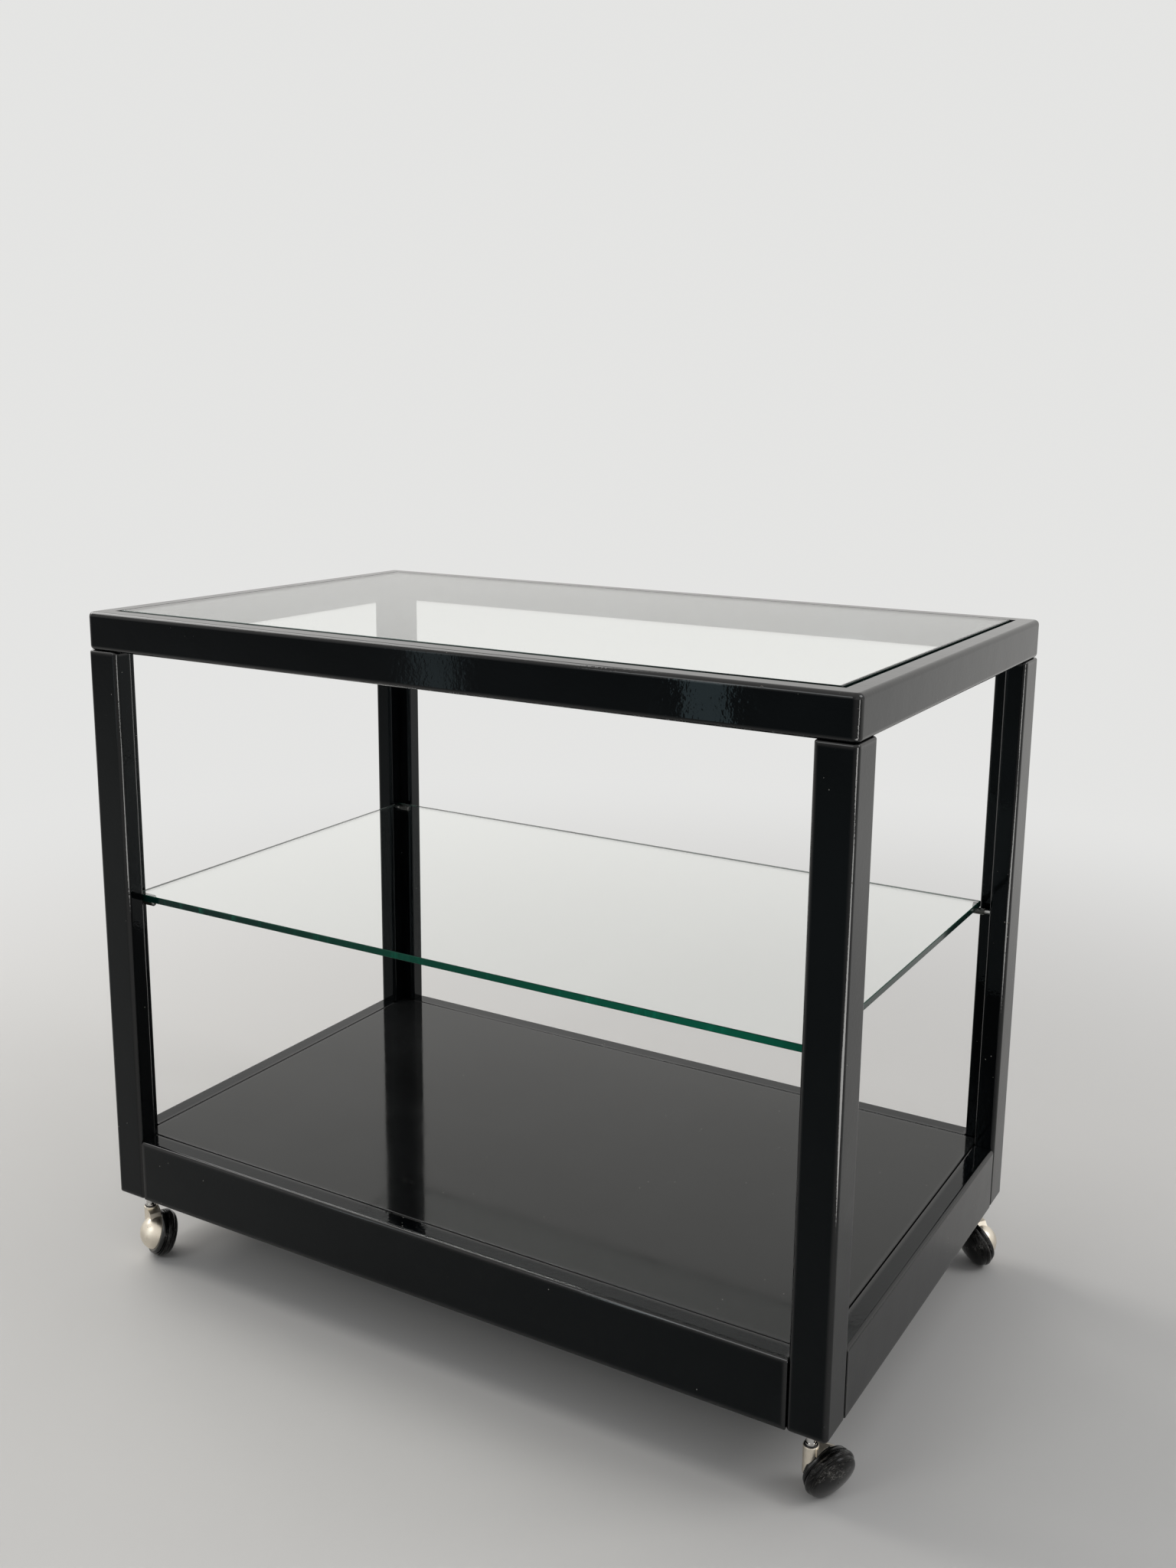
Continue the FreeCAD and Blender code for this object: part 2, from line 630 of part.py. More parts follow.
def make_bush(name, side, end, heading):
    """The bush in the cup of the neck, on which the stem's collar turns."""
    body = make_body("castor_bush_" + name, stem_place(side, end), heading)
    foot = size["neck_top"] - size["cup_depth"]
    low = (size["stem_radius"] + size["running_clearance"], foot)
    high = (size["cup_radius"], foot + size["bush_height"])
    turn_round(body, "Revolution", draw_loop(make_sketch(body, "XZ_Plane"), box_points(low, high)), "V_Axis")


def axle_sketch(body, hand, aside=0):
    """A sketch in the upright plane of the axle, with its X axis along the axle towards the wheel
    and its origin at the ball's centre. Aside moves it off that plane, across the axle."""
    across = size["ball_trail"] * hand
    return make_sketch(body, "XZ_Plane", (size["ball_lead"], ball_height, -across - aside), -tilt)


def make_hood(name, side, end, heading):
    """The hood: half a hollow ball with a rim round its mouth, an axle boss, and a neck and a web
    that carry it from the stem."""
    hand = side
    body = make_body("castor_hood_" + name, stem_place(side, end), heading)
    radius = size["hood_radius"]
    lip = size["hood_lip_width"]
    trail = size["ball_trail"] * hand
    top = size["neck_top"]
    over = size["cut_overrun"]
    shell = axle_sketch(body, hand)
    draw_loop(shell, [
        (-radius, 0, radius),
        (-lip, root(radius * radius - lip * lip)),
        (-lip, size["hood_lip_foot"], size["hood_lip_round"]),
        (-size["hood_lip_land"], size["hood_lip_radius"]),
        (0, size["hood_lip_radius"]),
        (0, 0),
    ])
    turn_round(body, "Revolution", shell, "H_Axis")
    column = make_sketch(body, "XY_Plane", (0, 0, ball_height))
    extrude(body, "Pad", draw_circle(column, (0, 0), size["neck_radius"]), top - ball_height)
    web = make_sketch(body, "YZ_Plane", (0, 0, size["ball_lead"] / 2 - size["web_half_width"]))
    draw_loop(web, [
        (0, ball_height),
        (trail + size["web_tail"] * hand, ball_height),
        (trail, size["web_foot"]),
        (0, top - over),
    ])
    extrude(body, "Pad", web, size["web_half_width"] * 2)
    inside = radius - size["hood_wall"]
    boss = size["axle_radius"] + size["axle_boss_wall"]
    cavity = axle_sketch(body, hand)
    draw_loop(cavity, [
        (-root(inside * inside - boss * boss), boss, inside),
        (0, inside),
        (0, boss),
    ])
    turn_round(body, "Groove", cavity, "H_Axis")
    bore_foot = top - size["neck_bore_depth"]
    boss_foot = bore_foot - size["neck_boss_floor"]
    stem_boss = make_sketch(body, "XY_Plane", (0, 0, boss_foot))
    draw_circle(stem_boss, (0, 0), size["neck_boss_radius"])
    extrude(body, "Pad", stem_boss, top - size["cup_depth"] - over - boss_foot)
    mouth = axle_sketch(body, hand, -radius * 2)
    draw_loop(mouth, box_points((0, -radius * 2), (radius * 2, radius * 2)))
    extrude(body, "Pocket", mouth, radius * 4)
    dress(body, "Fillet", size["neck_edge_radius"], level_at(top))
    stem_bore = make_sketch(body, "XY_Plane", (0, 0, top + over))
    draw_circle(stem_bore, (0, 0), size["stem_radius"] + size["running_clearance"])
    extrude(body, "Pocket", stem_bore, size["neck_bore_depth"] + over)
    cup = make_sketch(body, "XY_Plane", (0, 0, top + over))
    draw_circle(cup, (0, 0), size["cup_radius"])
    extrude(body, "Pocket", cup, size["cup_depth"] + over)
    axle_bore = axle_sketch(body, hand)
    draw_loop(axle_bore, box_points((-size["axle_seat"], 0), (over, size["axle_radius"])))
    turn_round(body, "Groove", axle_bore, "H_Axis")


def make_axle(name, side, end, heading):
    body = make_body("castor_axle_" + name, stem_place(side, end), heading)
    tip = size["hub_bore_depth"] - size["hub_gap"]
    profile = axle_sketch(body, side)
    draw_loop(profile, box_points((-size["axle_seat"], 0), (tip, size["axle_radius"])))
    turn_round(body, "Revolution", profile, "H_Axis")


def make_wheel(name, side, end, heading):
    """The domed wheel: a hub and a rim behind a dome that rises to its apex."""
    body = make_body("wheel_dome_" + name, stem_place(side, end), heading)
    bore = size["axle_radius"] + size["running_clearance"]
    hub = bore + size["hub_wall"]
    seat = size["tyre_seat_radius"]
    edge = size["dome_edge_radius"]
    # The dome is a shallow crown and a rounder shoulder that meet in a smooth join.
    crown = size["dome_crown_radius"]
    drop = crown - (size["dome_apex"] - tread_end)
    shoulder = (crown * crown - drop * drop - edge * edge) / ((crown - edge) * 2)
    reach = crown / (crown - shoulder)
    join = (size["dome_apex"] - crown + drop * reach, (edge - shoulder) * reach)
    profile = axle_sketch(body, side)
    draw_loop(profile, [
        (size["hub_gap"], bore),
        (size["hub_gap"], hub),
        (size["wheel_back_recess"], hub),
        (size["wheel_back_recess"], seat - size["rim_wall"]),
        (size["wheel_gap"], seat - size["rim_wall"]),
        (size["wheel_gap"], seat),
        (tread_end, seat),
        (tread_end, edge, shoulder),
        (join[0], join[1], crown),
        (size["dome_apex"], 0),
        (size["hub_bore_depth"], 0),
        (size["hub_bore_depth"], bore),
    ])
    turn_round(body, "Revolution", profile, "H_Axis")


def make_tyre(name, side, end, heading):
    """The tyre: a bead beside the hood, a groove, and the round crown that rolls."""
    body = make_body("wheel_tyre_" + name, stem_place(side, end), heading)
    shoulder = size["tread_radius"] - size["tread_rise"]
    bead_end = size["wheel_gap"] + size["lip_width"]
    profile = axle_sketch(body, side)
    draw_loop(profile, [
        (size["wheel_gap"], size["tyre_seat_radius"]),
        (size["wheel_gap"], size["lip_radius"]),
        (bead_end, size["lip_radius"]),
        (bead_end, size["lip_groove_radius"]),
        (tread_start, size["lip_groove_radius"]),
        (tread_start, shoulder, crown_radius),
        (tread_end, shoulder),
        (tread_end, size["tyre_seat_radius"]),
    ])
    turn_round(body, "Revolution", profile, "H_Axis")


def make_castor(name, side, end):
    heading = size["heading_" + name]
    make_socket(name, side, end)
    make_stem(name, side, end)
    make_bush(name, side, end, heading)
    make_hood(name, side, end, heading)
    make_axle(name, side, end, heading)
    make_wheel(name, side, end, heading)
    make_tyre(name, side, end, heading)


def write_parts():
    """Check every object, then write each body to its own file."""
    doc.recompute()
    for obj in doc.Objects:
        if "Invalid" in obj.State or "Error" in obj.State:
            raise RuntimeError("%s is invalid" % obj.Label)
    bodies = [obj for obj in doc.Objects if obj.TypeId == "PartDesign::Body"]
    for body in bodies:
        if body.Shape.isNull() or not body.Shape.isValid():
            raise RuntimeError("%s has no valid shape" % body.Label)
        if len(body.Shape.Solids) != 1:
            raise RuntimeError("%s is not one solid" % body.Label)
    os.makedirs("parts", exist_ok=True)
    for body in bodies:
        body.Shape.exportStep("parts/%s.step" % body.Label)


for rail_side in ("front", "rear", "left", "right"):
    make_top_rail(rail_side)
    make_base_rail(rail_side)
    make_cleat(rail_side)
make_top_glass()
make_shelf_glass()
make_base_panel()
for corner_name, corner_side, corner_end in CORNERS:
    make_post(corner_name, corner_side, corner_end)
    make_shelf_pin(corner_name, corner_side, corner_end)
    make_castor(corner_name, corner_side, corner_end)
write_parts()
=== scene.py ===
import json

import bpy
from mathutils import Matrix, Vector


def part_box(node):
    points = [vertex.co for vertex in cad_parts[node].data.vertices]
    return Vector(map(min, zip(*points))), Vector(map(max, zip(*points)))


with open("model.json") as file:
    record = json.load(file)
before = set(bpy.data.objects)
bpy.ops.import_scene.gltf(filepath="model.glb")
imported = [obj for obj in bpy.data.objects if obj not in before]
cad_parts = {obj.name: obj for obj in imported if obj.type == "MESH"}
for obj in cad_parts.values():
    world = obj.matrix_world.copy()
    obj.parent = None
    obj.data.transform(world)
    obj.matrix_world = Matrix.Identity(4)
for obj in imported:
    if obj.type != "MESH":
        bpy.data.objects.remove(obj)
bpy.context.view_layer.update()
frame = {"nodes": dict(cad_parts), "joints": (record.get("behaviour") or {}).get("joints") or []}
nodes = frame["nodes"]
scene = bpy.context.scene
scene.view_settings.view_transform = "Standard"

# The camera stands where the photograph was taken, with the photograph's field of view.
EYE = Vector((0.69626, -1.13903, 0.77882))
FORWARD = Vector((-0.49201, 0.84503, -0.20940)).normalized()
RIGHT = Vector((0.86298, 0.50513, 0.01079)).normalized()
FOCAL = 35.89
SENSOR = 36.0
SHIFT = (-0.00655, -0.02902)
CLIP_START = 0.05
CLIP_END = 100

# Colours of the floor, of everything beyond it as seen and as mirrored, and of the light from it.
FLOOR = (0.60, 0.585, 0.56, 1)
BACKDROP = (0.78, 0.78, 0.77, 1)
MIRRORED = (0.83, 0.82, 0.80, 1)
SKY_LIGHT = (0.50, 0.51, 0.53, 1)

# The floor's half width, the distances from the middle over which it fades into the backdrop, and
# the distances behind the middle over which that fade sets in for mirrors, in metres.
FLOOR_HALF = 40.0
FADE = (0.55, 1.9)
MIRRORED_FADE = (0.0, 1.4)

# Each lamp's name, place, target, width, height, power in watts, colour, and whether it shows
# through glass.
WARM = (1.0, 0.99, 0.97)
COOL = (0.97, 0.98, 1.0)
PALE_BLUE = (0.97, 0.99, 1.0)
SUN = (1.0, 0.99, 0.96)
WINDOW = (0.78, 0.95, 1.0)
LAMPS = (
    ("key", (-2.3, 0.2, 2.6), (0, 0.2, 0.2), 2.3, 2.3, 62, WARM, True),
    ("fill", (2.4, 0.7, 2.3), (0, 0.2, 0.2), 1.3, 1.3, 20, COOL, True),
    ("front", (-0.9, -2.6, 1.9), (0, 0, 0.2), 0.9, 0.9, 7, PALE_BLUE, True),
    # Two low wide lamps at the right, as of sun on the floor, are mirrored by the rounded edges and
    # by the front right wheel.
    ("low_near", (1.45, -0.60, 0.004), (1.45, -0.60, 1.0), 1.4, 0.55, 17, SUN, False),
    ("low_far", (2.95, -1.15, 0.004), (2.95, -1.15, 1.0), 1.6, 0.90, 31, SUN, False),
    # Two tall strips, as of a window, are mirrored by the top rail's front face.
    ("strip_left", (-1.45, -2.21, 0.75), (0.017, -0.2135, 0.75), 0.10, 1.4, 0.56, WINDOW, False),
    ("strip_right", (-0.76, -2.25, 0.75), (0.243, -0.2135, 0.75), 0.10, 1.4, 1.12, WINDOW, False),
)

WHITE = (1, 1, 1, 1)

# Lacquer: colours, tints of what is mirrored head-on, ranges of roughness, heights of the orange
# peel in metres, and how much dust and how many nicks there are.
BLACK = (0.0014, 0.0017, 0.0020)
BLACK_GLINT = (0.14, 0.17, 0.18, 1)
BLACK_HAZE = (0.035, 0.090)
BLACK_PEEL = 0.000038
BLACK_DUST = 1.0
BLACK_NICKS = 1.0
PANEL_BLACK = (0.0075, 0.0078, 0.0078)
PANEL_GLINT = (0.60, 0.62, 0.60, 1)
PANEL_HAZE = (0.05, 0.11)
PANEL_PEEL = 0.000008
PANEL_DUST = 0.6
PANEL_NICKS = 0.0
LACQUER_IOR = 1.5
SPECK_COLOUR = (0.34, 0.33, 0.30, 1)
CHIP_COLOUR = (0.13, 0.095, 0.065, 1)
# How far in from an edge the nicks reach, and how far in the lacquer mirrors at full strength.
NICK_WIDTH = 0.0028
EDGE_WIDTH = 0.0045
# The part of such a width, from the edge, that has the full effect.
RIM_FULL = 0.3

# Glass: the greens of its edges, which painted shade darkens to near black on the top pane,
# towards the left on the shelf and on the edges that face the sides, what they mirror, and the
# faint green of its body.
# The top pane's edges get a green so dark that it paints them as lying in shade.
TOP_GREEN_PAINTED_SHADE = (0.0005, 0.0030, 0.0024, 1)
# The shelf's edges go from a dark green at the left, which is painted shade, to the right's.
SHELF_GREEN_LEFT_PAINTED_SHADE = (0.0008, 0.012, 0.010, 1)
SHELF_GREEN_RIGHT = (0.0012, 0.085, 0.047, 1)
# A darker green for the edges that face the sides: painted shade.
SIDE_GREEN_PAINTED_SHADE = (0.006, 0.016, 0.013, 1)
EDGE_GLINT = (0.08, 0.25, 0.20, 1)
GLASS_IOR = 1.5
GLASS_BODY = (0.25, 0.75, 0.58, 1)
GLASS_DENSITY = 5
# How upright the surface's normal is, from 0 on an edge to 1 on a face, where the edge ends, and
# where the arris between them starts and ends.
EDGE_END = (0.30, 0.55)
ARRIS_START = (0.35, 0.6)
ARRIS_END = (0.80, 0.95)

# Metal, plastic and wood: colours, the hoods' range of roughness, and heights of the bumps in
# metres.
CHAMPAGNE = (0.84, 0.77, 0.655)
HOOD_HAZE = (0.27, 0.38)
LIP_BLACK = (0.006, 0.006, 0.0055, 1)
PIT_COLOUR = (0.15, 0.12, 0.09, 1)
STAIN_COLOUR = (0.42, 0.33, 0.22, 1)
SCUFF_COLOUR = (0.15, 0.14, 0.125, 1)
METAL_BUMP = 0.000012
PLASTIC_BUMP = 0.00003
# The hood's black lip: where it starts and ends, along the axle and out from it.
LIP_ALONG = (-0.0036, -0.0031)
LIP_INNER = (0.0150, 0.0158)
LIP_OUTER = (0.0196, 0.0199)

# Wheels: colours, the range of roughness, how strong the worn band and the scuffs are, where that
# band lies along the axle, the margins over which it begins and ends, how far streaks are drawn out
# round the axle, the ridges in radians per metre and the height of the bumps in metres. The pale
# scuffs are strong enough that they also paint a mottled highlight on the wheels.
WHEEL_BLACK = (0.0022, 0.0022, 0.0021)
TYRE_BLACK = (0.0024, 0.0024, 0.0023)
WHEEL_GLINT = (0.26, 0.26, 0.26, 1)
# Pale grey of the worn band and of the scuffs, which also paint a mottled highlight.
WHEEL_DUST_AND_HIGHLIGHT = (0.20, 0.19, 0.175, 1)
WHEEL_HAZE = (0.08, 0.17)
WORN_SHARE = 0.40
SCUFF_AND_HIGHLIGHT_SHARE = 0.85
DOME_BAND = (0.0080, 0.0105)
TYRE_BAND = (0.0024, 0.0076)
BAND_RISE = (-0.0012, 0.0008)
BAND_FALL = (-0.0008, 0.0022)
STREAK_STRETCH = 9.0
DOME_RIDGES = 2600.0
TYRE_RIDGES = 5200.0
WHEEL_BUMP = 0.00005


def make_camera():
    data = bpy.data.cameras.new("photo_camera")
    data.sensor_fit = "VERTICAL"
    data.sensor_height = SENSOR
    data.lens = FOCAL
    data.shift_x, data.shift_y = SHIFT
    data.clip_start = CLIP_START
    data.clip_end = CLIP_END
    camera = bpy.data.objects.new("photo_camera", data)
    scene.collection.objects.link(camera)
    back = -FORWARD
    up = back.cross(RIGHT).normalized()
    turn = Matrix((RIGHT, up, back)).transposed()
    camera.matrix_world = Matrix.Translation(EYE) @ turn.to_4x4()
    scene.camera = camera


class Graph:
    """A node tree with short ways to add nodes and join them."""

    def __init__(self, tree):
        self.tree = tree
        self.nodes = tree.nodes
        self.nodes.clear()

    def node(self, kind, **settings):
        made = self.nodes.new("ShaderNode" + kind)
        for name, value in settings.items():
            setattr(made, name, value)
        return made

    def feed(self, socket, value):
        """Joins a socket to another node's output, or sets it to a plain value."""
        if isinstance(value, bpy.types.NodeSocket):
            self.tree.links.new(value, socket)
        else:
            socket.default_value = value

    def place(self):
        """Where a point lies on the object, in metres."""
        return self.node("TexCoord").outputs["Object"]

    def moved(self, vector, shift=(0, 0, 0), scale=(1, 1, 1)):
        made = self.node("Mapping")
        self.feed(made.inputs["Vector"], vector)
        made.inputs["Location"].default_value = shift
        made.inputs["Scale"].default_value = scale
        return made.outputs["Vector"]

    def drawn(self, vector, axis, amount):
        """A vector stretched along an axis, so that a pattern on it runs round that axis."""
        made = self.node("VectorMath", operation="SCALE")
        made.inputs["Vector"].default_value = axis * amount
        self.feed(made.inputs["Scale"], self.along(vector, axis))
        total = self.node("VectorMath", operation="ADD")
        self.feed(total.inputs[0], vector)
        self.feed(total.inputs[1], made.outputs["Vector"])
        return total.outputs["Vector"]

    def along(self, vector, axis):
        """How far a vector reaches along an axis."""
        made = self.node("VectorMath", operation="DOT_PRODUCT")
        self.feed(made.inputs[0], vector)
        made.inputs[1].default_value = axis
        return made.outputs["Value"]

    def length(self, vector):
        made = self.node("VectorMath", operation="LENGTH")
        self.feed(made.inputs[0], vector)
        return made.outputs["Value"]

    def noise(self, vector, scale, detail=2.0, rough=0.5, distortion=0.0):
        made = self.node("TexNoise")
        self.feed(made.inputs["Vector"], vector)
        made.inputs["Scale"].default_value = scale
        made.inputs["Detail"].default_value = detail
        made.inputs["Roughness"].default_value = rough
        made.inputs["Distortion"].default_value = distortion
        return made.outputs["Fac"]

    def cells(self, vector, scale):
        """The distance to the nearest of many scattered points, in cells."""
        made = self.node("TexVoronoi")
        self.feed(made.inputs["Vector"], vector)
        made.inputs["Scale"].default_value = scale
        return made.outputs["Distance"]

    def ramp(self, value, low, high, start=0.0, end=1.0):
        """A value carried smoothly from one range to another, and held at its ends."""
        made = self.node("MapRange", interpolation_type="SMOOTHSTEP")
        self.feed(made.inputs["Value"], value)
        made.inputs["From Min"].default_value = low
        made.inputs["From Max"].default_value = high
        made.inputs["To Min"].default_value = start
        made.inputs["To Max"].default_value = end
        return made.outputs["Result"]

    def fall(self, value, low, high):
        """1 up to a low value, and 0 from a high one."""
        return self.ramp(value, low, high, 1.0, 0.0)

    def patches(self, vector, scale, within, **texture):
        """0 where a noise stays under a range, and 1 where it passes over it."""
        return self.ramp(self.noise(vector, scale, **texture), *within)

    def specks(self, vector, scale, size, spread, within):
        """Dots round scattered points, fading out between two sizes in cells, and only in the
        patches of a wider noise."""
        dots = self.fall(self.cells(vector, scale), *size)
        return self.times(dots, self.patches(vector, spread, within))

    def math(self, kind, first, second=0.0):
        made = self.node("Math", operation=kind)
        self.feed(made.inputs[0], first)
        self.feed(made.inputs[1], second)
        return made.outputs["Value"]

    def times(self, *values):
        total = values[0]
        for value in values[1:]:
            total = self.math("MULTIPLY", total, value)
        return total

    def plus(self, *values):
        total = values[0]
        for value in values[1:]:
            total = self.math("ADD", total, value)
        return total

    def mix(self, share, first, second):
        """A blend of two colours. The node's sockets 6 and 7 are its colours, and output 2."""
        made = self.node("Mix", data_type="RGBA")
        self.feed(made.inputs[0], share)
        self.feed(made.inputs[6], first)
        self.feed(made.inputs[7], second)
        return made.outputs[2]

    def bump(self, height, distance):
        made = self.node("Bump")
        made.inputs["Strength"].default_value = 1.0
        made.inputs["Distance"].default_value = distance
        self.feed(made.inputs["Height"], height)
        return made.outputs["Normal"]

    def output(self, shader, kind="OutputMaterial"):
        """The tree's output node, with a shader on its surface."""
        made = self.node(kind)
        self.tree.links.new(shader, made.inputs["Surface"])
        return made

    def surface(self, **inputs):
        """A principled shader on the material's output. An input's spaces are underscores."""
        shader = self.node("BsdfPrincipled")
        for name, value in inputs.items():
            self.feed(shader.inputs[name.replace("_", " ")], value)
        return self.output(shader.outputs["BSDF"])


def new_material(name):
    material = bpy.data.materials.new(name)
    material.use_nodes = True
    return material, Graph(material.node_tree)


def shade(colour, factor):
    return (*[channel * factor for channel in colour[:3]], 1)


def rim_of_box(graph, place, low, high, width):
    """1 along the twelve edges of a box, fading to 0 at a given width inside them."""
    centre = (low + high) / 2
    half = (high - low) / 2
    apart = graph.node("SeparateXYZ")
    graph.feed(apart.inputs["Vector"], graph.moved(place, -centre))
    depth = [graph.math("SUBTRACT", graph.math("ABSOLUTE", apart.outputs[index]), half[index])
             for index in range(3)]
    low_pair = graph.math("MINIMUM", depth[0], depth[1])
    high_pair = graph.math("MAXIMUM", depth[0], depth[1])
    middle = graph.math("MAXIMUM", low_pair, graph.math("MINIMUM", high_pair, depth[2]))
    return graph.ramp(middle, -width, -width * RIM_FULL)


def lacquer(name, low, high, tint, glint, haze_range, peel_height, dust, nicks):
    """Sprayed black lacquer: slow ripple and orange peel, hazy patches, hairline scratches, pale
    specks of dust, and a few nicks along the edges."""
    material, graph = new_material(name)
    place = graph.place()
    ripple = graph.noise(place, scale=26.0, detail=1.0)
    peel = graph.noise(place, scale=330.0, detail=1.5)
    haze = graph.noise(place, scale=7.0, detail=4.0, rough=0.6)
    cloud = graph.patches(graph.moved(place, shift=(3.1, 1.7, 0.4)), scale=34.0,
                          within=(0.5, 0.75), detail=5.0, rough=0.65)
    scratches = graph.times(graph.patches(graph.moved(place, scale=(9.0, 260.0, 90.0)), scale=1.6,
                                          within=(0.66, 0.72), detail=4.0, rough=0.7,
                                          distortion=1.2),
                            graph.ramp(haze, 0.45, 0.6))
    specks = graph.times(graph.specks(place, scale=150.0, size=(0.040, 0.075), spread=31.0,
                                      within=(0.60, 0.66)), dust)
    chips = graph.times(rim_of_box(graph, place, low, high, NICK_WIDTH),
                        graph.patches(place, scale=240.0, within=(0.66, 0.70), detail=4.0,
                                      rough=0.7),
                        graph.patches(place, scale=17.0, within=(0.52, 0.60)), nicks)
    colour = graph.mix(graph.ramp(haze, 0.3, 0.7), shade(tint, 0.75), shade(tint, 1.3))
    colour = graph.mix(specks, colour, SPECK_COLOUR)
    colour = graph.mix(chips, colour, CHIP_COLOUR)
    rough = graph.plus(graph.ramp(haze, 0.35, 0.75, *haze_range), graph.times(cloud, 0.035),
                       graph.times(scratches, 0.10), graph.times(specks, 0.4),
                       graph.times(chips, 0.45))
    height = graph.plus(graph.times(ripple, 5.0), peel, graph.times(chips, -6.0))
    glint = graph.mix(rim_of_box(graph, place, low, high, EDGE_WIDTH), glint, WHITE)
    graph.surface(Base_Color=colour, Roughness=rough, IOR=LACQUER_IOR, Specular_Tint=glint,
                  Normal=graph.bump(height, peel_height))
    return material


def pane(name, low, high, left_green_painted_shade, right_green):
    """Float glass: nearly clear through its faces, with a little dust, a dull ground arris, and
    edges that show the glass's green, darkened by painted shade towards the left and on the
    edges that face the sides."""
    material, graph = new_material(name)
    place = graph.place()
    normal = graph.node("NewGeometry").outputs["Normal"]
    upright = graph.math("ABSOLUTE", graph.along(normal, (0, 0, 1)))
    edge = graph.fall(upright, *EDGE_END)
    arris = graph.times(graph.ramp(upright, *ARRIS_START), graph.fall(upright, *ARRIS_END))
    sideways_shade = graph.ramp(graph.math("ABSOLUTE", graph.along(normal, (1, 0, 0))), 0.4, 0.6)
    # Painted shade: the edges' green darkens from the right towards the left.
    painted_shade_across = graph.ramp(graph.along(place, (1, 0, 0)), low.x, high.x)
    streaks = graph.patches(graph.moved(place, scale=(1, 1, 0.2)), scale=46.0,
                            within=(0.52, 0.80), detail=4.0, rough=0.7, distortion=0.8)
    green = graph.mix(painted_shade_across, left_green_painted_shade, right_green)
    green = graph.mix(streaks, green, shade(right_green, 1.7))
    # Painted shade: the edges that face left or right get a darker green.
    green = graph.mix(sideways_shade, green, SIDE_GREEN_PAINTED_SHADE)
    specks = graph.specks(place, scale=95.0, size=(0.020, 0.040), spread=14.0,
                          within=(0.55, 0.65))
    colour = graph.mix(edge, WHITE, green)
    colour = graph.mix(arris, colour, shade(right_green, 0.5))
    clear = graph.plus(1.0, graph.times(edge, -0.98), graph.times(arris, -0.93))
    rough = graph.plus(graph.times(edge, 0.10), graph.times(arris, 0.25), graph.times(specks, 0.3))
    glint = graph.mix(graph.math("MAXIMUM", edge, arris), WHITE, EDGE_GLINT)
    output = graph.surface(Base_Color=colour, Transmission_Weight=clear, Roughness=rough,
                           IOR=GLASS_IOR, Specular_Tint=glint)
    absorb = graph.node("VolumeAbsorption")
    absorb.inputs["Color"].default_value = GLASS_BODY
    absorb.inputs["Density"].default_value = GLASS_DENSITY
    graph.tree.links.new(absorb.outputs["Volume"], output.inputs["Volume"])
    return material


def metal(name, colour, rough_range):
    """Plated metal: clouded, pitted here and there, with fine scratches."""
    material, graph = new_material(name)
    place = graph.place()
    cloud = graph.noise(place, scale=130.0, detail=4.0, rough=0.6)
    pits = graph.specks(place, scale=620.0, size=(0.10, 0.20), spread=190.0, within=(0.56, 0.64))
    lines = graph.noise(graph.moved(place, scale=(1, 1, 7)), scale=900.0, detail=3.0, rough=0.6)
    tint = graph.mix(graph.ramp(cloud, 0.3, 0.7), shade(colour, 0.80), (*colour, 1))
    tint = graph.mix(pits, tint, PIT_COLOUR)
    rough = graph.plus(graph.ramp(cloud, 0.3, 0.7, *rough_range), graph.times(pits, 0.3))
    normal = graph.bump(graph.plus(lines, graph.times(pits, -2.0)), METAL_BUMP)
    graph.surface(Base_Color=tint, Metallic=1.0, Roughness=rough, Normal=normal)
    return material


def hood(name, centre, axle):
    """A castor's hood: satin plating, clouded, stained and pitted, with a black glossy lip at its
    mouth."""
    material, graph = new_material(name)
    place = graph.moved(graph.place(), -centre)
    along = graph.along(place, axle)
    reach = graph.length(place)
    radius = graph.math("SQRT", graph.math("SUBTRACT", graph.times(reach, reach),
                                           graph.times(along, along)))
    lip = graph.times(graph.ramp(along, *LIP_ALONG), graph.ramp(radius, *LIP_INNER),
                      graph.fall(radius, *LIP_OUTER))
    cloud = graph.noise(place, scale=95.0, detail=4.0, rough=0.6)
    grain = graph.noise(place, scale=900.0, detail=3.0, rough=0.6)
    pits = graph.specks(place, scale=480.0, size=(0.09, 0.17), spread=150.0, within=(0.58, 0.66))
    stain = graph.patches(place, scale=60.0, within=(0.55, 0.75), detail=5.0, rough=0.7)
    tint = graph.mix(graph.ramp(cloud, 0.3, 0.7), shade(CHAMPAGNE, 0.88), (*CHAMPAGNE, 1))
    tint = graph.mix(graph.times(stain, 0.35), tint, STAIN_COLOUR)
    tint = graph.mix(pits, tint, PIT_COLOUR)
    tint = graph.mix(lip, tint, LIP_BLACK)
    rough = graph.plus(graph.ramp(cloud, 0.3, 0.7, *HOOD_HAZE), graph.times(grain, 0.05),
                       graph.times(pits, 0.3), graph.times(lip, -0.20))
    normal = graph.bump(graph.plus(grain, graph.times(pits, -2.0)), METAL_BUMP)
    graph.surface(Base_Color=tint, Metallic=graph.math("SUBTRACT", 1.0, lip), Roughness=rough,
                  Normal=normal)
    return material


def plastic(name, colour, rough_range, scuffing):
    """Moulded plastic or stained wood: clouded and scuffed."""
    material, graph = new_material(name)
    place = graph.place()
    cloud = graph.noise(place, scale=150.0, detail=5.0, rough=0.65)
    scuffs = graph.times(graph.patches(place, scale=420.0, within=(0.50, 0.68), detail=6.0,
                                       rough=0.7, distortion=0.6), scuffing)
    tint = graph.mix(graph.ramp(cloud, 0.35, 0.7), (*colour, 1), shade(colour, 1.8))
    tint = graph.mix(scuffs, tint, SCUFF_COLOUR)
    rough = graph.plus(graph.ramp(cloud, 0.3, 0.7, *rough_range), graph.times(scuffs, 0.3))
    normal = graph.bump(graph.noise(place, scale=1100.0, detail=3.0), PLASTIC_BUMP)
    graph.surface(Base_Color=tint, Roughness=rough, Normal=normal)
    return material


